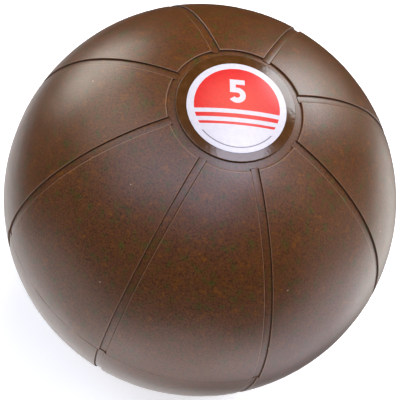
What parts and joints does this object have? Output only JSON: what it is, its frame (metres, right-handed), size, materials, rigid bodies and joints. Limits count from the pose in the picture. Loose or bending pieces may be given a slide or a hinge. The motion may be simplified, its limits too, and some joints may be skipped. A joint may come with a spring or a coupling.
{
  "type": "medicine ball",
  "caption": "Round filled vinyl medicine ball with moulded panels, a label disc on top and a recessed air valve below, for lifting, throwing and balance exercises.",
  "frame": {"origin": "the ball's centre", "axes": "+Z through the middle of the label, -Z through the valve; the channels of the upper half lie every 45 degrees from +X"},
  "size_m": [0.2398, 0.2398, 0.2404],
  "materials": {
    "moulded_vinyl": "satin",
    "plain_vinyl": "matte",
    "polished_vinyl": "gloss",
    "printed_label": "satin",
    "valve_rubber": "matte",
    "stopper_plastic": "satin",
    "heavy_gel": "satin"
  },
  "bodies": {
    "ball": {"upper_shell": "moulded_vinyl", "lower_shell": "moulded_vinyl", "joining_hoop": "plain_vinyl", "filler_disc": "polished_vinyl", "label": "printed_label", "valve_disc": "polished_vinyl", "valve_body": "valve_rubber", "ballast_fill": "heavy_gel"},
    "stopper": {"valve_stopper": "stopper_plastic"}
  },
  "joints": [
    {"name": "stopper_pull", "type": "slide", "parent": "ball", "child": "stopper", "axis": [0, 0, -1], "range_m": [0, 0.0145]}
  ]
}
